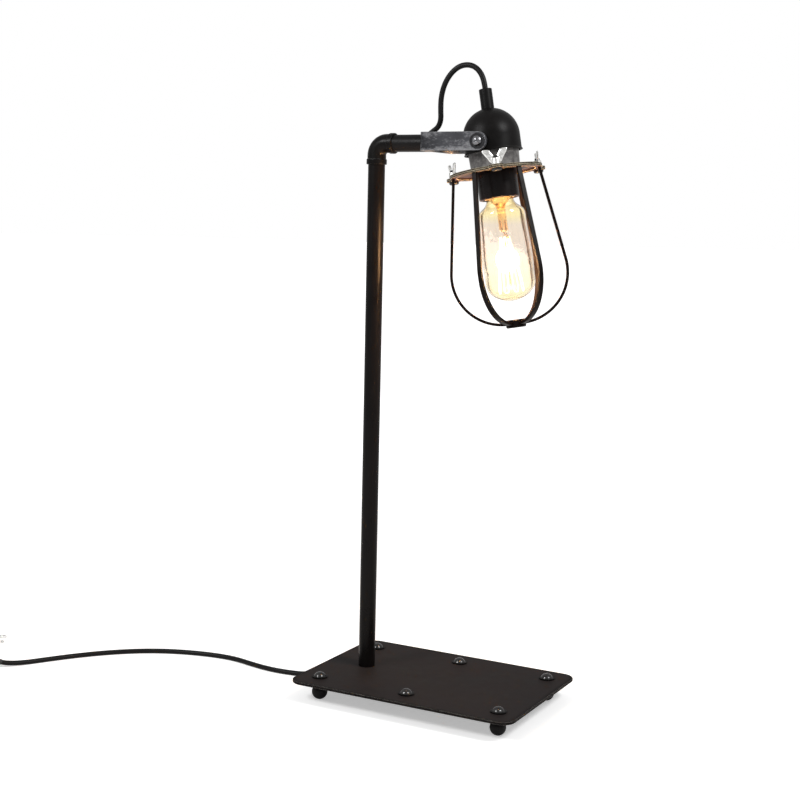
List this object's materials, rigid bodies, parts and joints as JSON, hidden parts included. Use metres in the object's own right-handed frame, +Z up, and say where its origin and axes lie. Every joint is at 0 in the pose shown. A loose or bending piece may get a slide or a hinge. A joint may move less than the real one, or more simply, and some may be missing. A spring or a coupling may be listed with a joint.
{
  "type": "pipe table lamp",
  "caption": "Industrial pipe table lamp: bolted plate base, tube column, elbow and yoke, tilting caged lamp head with a clear bulb, corded with an in-line switch.",
  "frame": {"origin": "on the floor at the bottom centre of the box round the lamp, cord left out; the base plate is centred on it to 0.2 mm", "axes": "+Z up; +X along the plate towards the lamp head; +Y away from the viewer"},
  "size_m": [0.717, 0.3245, 0.5986],
  "materials": {
    "plate_black": "satin sanded black powder coat",
    "bolt_black": "satin black",
    "zinc_steel": "zinc plated",
    "foot_rubber": "matt",
    "pipe_black": "satin black",
    "cast_black": "satin black",
    "strap_black": "worn satin black",
    "cord_black": "satin sheath",
    "clip_nylon": "matt",
    "plug_plastic": "satin",
    "pin_brass": "nickel plated",
    "switch_plastic": "satin",
    "rocker_plastic": "gloss",
    "dome_black": "satin black",
    "pivot_nickel": "nickel plated",
    "relief_plastic": "matt",
    "holder_bakelite": "satin bakelite",
    "ceramic_white": "glazed ceramic",
    "brass_shell": "bright",
    "cage_black": "worn satin black over bronze",
    "wing_nickel": "bright nickel",
    "bulb_cap_brass": "bright",
    "bulb_black_glass": "gloss",
    "bulb_glass": "clear",
    "stem_glass": "clear",
    "filament_tungsten": "glowing"
  },
  "bodies": {
    "stand": {"base_plate": "plate_black", "plate_bolts": "bolt_black", "bolt_washers": "bolt_black", "plate_nuts": "zinc_steel", "foot_front_left": "foot_rubber", "foot_back_left": "foot_rubber", "foot_front_right": "foot_rubber", "foot_back_right": "foot_rubber", "column_tube": "pipe_black", "tube_inserts": "zinc_steel", "base_nipple": "zinc_steel", "base_washer": "zinc_steel", "base_locknut": "zinc_steel", "elbow": "cast_black", "elbow_nipples": "zinc_steel", "arm_tube": "pipe_black", "yoke": "strap_black", "pivot_washers": "strap_black", "inner_lead": "cord_black", "cord_clip": "clip_nylon", "loop_cord": "cord_black", "mains_cord": "cord_black", "coil_lead": "cord_black", "cord_coil": "cord_black", "plug_cord": "cord_black", "plug_body": "plug_plastic", "plug_pins": "pin_brass", "switch_base": "switch_plastic", "switch_cover": "switch_plastic"},
    "head": {"dome": "dome_black", "pivot_screws": "pivot_nickel", "pivot_spacers": "strap_black", "pivot_nuts": "zinc_steel", "top_nipple": "zinc_steel", "strain_relief": "relief_plastic", "holder_cap": "holder_bakelite", "holder_sleeve": "holder_bakelite", "holder_insulator": "ceramic_white", "screw_shell": "brass_shell", "centre_contact": "brass_shell", "collar": "dome_black", "cage_plate": "cage_black", "cage_ring": "cage_black", "cage_rib_1": "cage_black", "cage_rib_2": "cage_black", "cage_rib_3": "cage_black", "cage_rib_4": "cage_black", "cage_rib_5": "cage_black", "cage_rib_6": "cage_black", "cage_boss": "cage_black", "cage_screws": "zinc_steel", "wing_nuts": "wing_nickel", "bulb_cap": "bulb_cap_brass", "bulb_insulator": "bulb_black_glass", "bulb_contact": "bulb_cap_brass", "bulb_glass": "bulb_glass", "bulb_stem": "stem_glass", "filament": "filament_tungsten", "head_lead": "cord_black"},
    "rocker": {"switch_rocker": "rocker_plastic"}
  },
  "joints": [
    {"name": "head_tilt", "type": "hinge", "parent": "stand", "child": "head", "pos_m": [0.0448, 0, 0.5265], "axis": [0, -1, 0], "range_deg": [-26, 60], "deforming": ["loop_cord"]},
    {"name": "rocker_switch", "type": "hinge", "parent": "stand", "child": "rocker", "pos_m": [-0.45841, -0.17835, 0.0136], "axis": [0.5736, -0.8192, 0], "range_deg": [-16, 0]}
  ]
}
